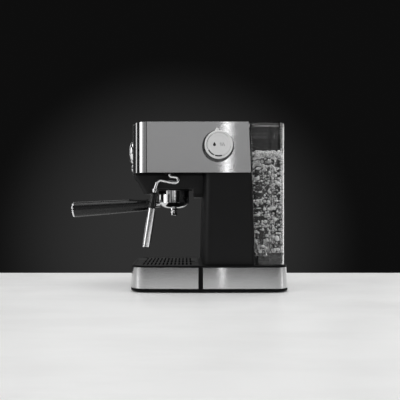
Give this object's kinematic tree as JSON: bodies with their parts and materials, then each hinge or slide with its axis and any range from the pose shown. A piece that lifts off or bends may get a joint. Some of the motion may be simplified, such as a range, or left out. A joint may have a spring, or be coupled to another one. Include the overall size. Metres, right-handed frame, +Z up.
{
  "type": "pump espresso machine",
  "caption": "Pump espresso machine with steel-clad head and base, side steam knob and frothing wand, portafilter, pressure gauge, drip tray and a clear lift-off rear water tank.",
  "frame": {"origin": "centre of the whole machine's footprint, handle and steam knob included, on the table", "axes": "+Z up, -Y to the front where the portafilter handle points, +X to the user's right where the steam knob and wand are"},
  "size_m": [0.209, 0.4053, 0.3039],
  "materials": {
    "brushed_steel": "brushed",
    "plain_steel": "satin",
    "black_plastic": "satin",
    "gloss_black": "glossy",
    "chrome": "polished",
    "satin_chrome": "satin",
    "cast_aluminium": "as cast",
    "brass": "machined",
    "rubber": "matt",
    "silicone": "matt",
    "clear_plastic": "clear",
    "copper": "drawn",
    "coil": "lacquered",
    "circuit_board": "satin",
    "dial": "matt",
    "needle": "painted"
  },
  "bodies": {
    "housing": {"base_band": "brushed_steel", "base_pan": "black_plastic", "bottom_plate": "black_plastic", "bottom_screws": "plain_steel", "button_rings": "chrome", "capillary_tube": "copper", "circuit_boards": "circuit_board", "column_housing": "black_plastic", "cord_grommet": "rubber", "cup_warmer_plate": "brushed_steel", "fascia_frame": "black_plastic", "fascia_panel": "gloss_black", "gauge_bezel": "chrome", "gauge_case": "black_plastic", "gauge_dial": "dial", "gauge_lens": "clear_plastic", "group_collar": "black_plastic", "group_gasket": "rubber", "group_head": "cast_aluminium", "head_band": "brushed_steel", "lower_cover": "black_plastic", "pump_body": "black_plastic", "pump_coil": "coil", "pump_mounts": "rubber", "rear_panel": "black_plastic", "rubber_feet": "rubber", "screen_screw": "plain_steel", "shower_screen": "plain_steel", "steam_hoses": "silicone", "steam_valve_body": "brass", "tank_seat": "black_plastic", "thermoblock": "cast_aluminium", "thermostats": "plain_steel", "top_frame": "black_plastic", "wand_socket": "black_plastic", "water_hoses": "silicone"},
    "portafilter": {"portafilter_bowl": "chrome", "filter_basket": "plain_steel", "portafilter_spout": "chrome", "portafilter_handle": "black_plastic", "handle_end_cap": "chrome"},
    "basket_retainer": {"basket_retainer": "black_plastic"},
    "steam_knob": {"steam_knob_body": "black_plastic", "steam_knob_cap": "satin_chrome", "steam_valve_spindle": "brass"},
    "steam_wand": {"wand_pipe": "chrome", "wand_grip": "black_plastic", "frother_nozzle": "black_plastic"},
    "frother_sleeve": {"frother_sleeve": "chrome"},
    "power_button": {"power_button": "chrome"},
    "coffee_button": {"coffee_button": "chrome"},
    "steam_button": {"steam_button": "chrome"},
    "gauge_needle": {"gauge_needle": "needle"},
    "drip_tray": {"drip_tray": "black_plastic", "tray_band": "brushed_steel"},
    "drip_grid": {"drip_grid": "black_plastic"},
    "water_tank": {"water_tank": "clear_plastic", "tank_valve_spring": "plain_steel"},
    "tank_lid": {"tank_lid": "clear_plastic"},
    "tank_valve": {"tank_valve_plunger": "black_plastic"}
  },
  "joints": [
    {"name": "portafilter_turn", "type": "hinge", "parent": "housing", "child": "portafilter", "pos_m": [-0.0085, -0.00395, 0.195], "axis": [0, 0, 1], "range_deg": [-45, 0]},
    {"name": "retainer_flip", "type": "hinge", "parent": "portafilter", "child": "basket_retainer", "pos_m": [-0.0085, -0.05495, 0.16506], "axis": [-1, 0, 0], "range_deg": [0, 30]},
    {"name": "steam_knob_turn", "type": "hinge", "parent": "housing", "child": "steam_knob", "pos_m": [0.0795, 0.07605, 0.2597], "axis": [1, 0, 0], "range_deg": [0, 270]},
    {"name": "wand_swing", "type": "hinge", "parent": "housing", "child": "steam_wand", "pos_m": [0.0535, -0.00985, 0.219], "axis": [0, 0, 1], "range_deg": [-15, 60]},
    {"name": "sleeve_pull", "type": "slide", "parent": "steam_wand", "child": "frother_sleeve", "axis": [0, -0.1513, -0.9885], "range_m": [0, 0.012]},
    {"name": "power_press", "type": "slide", "parent": "housing", "child": "power_button", "axis": [0, 1, 0], "range_m": [0, 0.002], "stiffness_N_per_m": 250, "springref_m": -0.002},
    {"name": "coffee_press", "type": "slide", "parent": "housing", "child": "coffee_button", "axis": [0, 1, 0], "range_m": [0, 0.002], "stiffness_N_per_m": 250, "springref_m": -0.002},
    {"name": "steam_press", "type": "slide", "parent": "housing", "child": "steam_button", "axis": [0, 1, 0], "range_m": [0, 0.002], "stiffness_N_per_m": 250, "springref_m": -0.002},
    {"name": "needle_sweep", "type": "hinge", "parent": "housing", "child": "gauge_needle", "pos_m": [-0.0085, -0.08005, 0.257], "axis": [0, 1, 0], "range_deg": [0, 270], "stiffness_Nm_per_rad": 0.0002, "springref_deg": -22.92},
    {"name": "tray_pull", "type": "slide", "parent": "housing", "child": "drip_tray", "axis": [0, -1, 0], "range_m": [0, 0.13]},
    {"name": "grid_lift", "type": "slide", "parent": "drip_tray", "child": "drip_grid", "axis": [0, 0, 1], "range_m": [0, 0.015]},
    {"name": "tank_lift", "type": "slide", "parent": "housing", "child": "water_tank", "axis": [0, 0, 1], "range_m": [0, 0.26]},
    {"name": "lid_open", "type": "hinge", "parent": "water_tank", "child": "tank_lid", "pos_m": [-0.0085, 0.19985, 0.2968], "axis": [-1, 0, 0], "range_deg": [0, 100]},
    {"name": "valve_lift", "type": "slide", "parent": "water_tank", "child": "tank_valve", "axis": [0, 0, 1], "range_m": [0, 0.003], "stiffness_N_per_m": 150, "springref_m": -0.002, "deforming": ["tank_valve_spring"]}
  ]
}
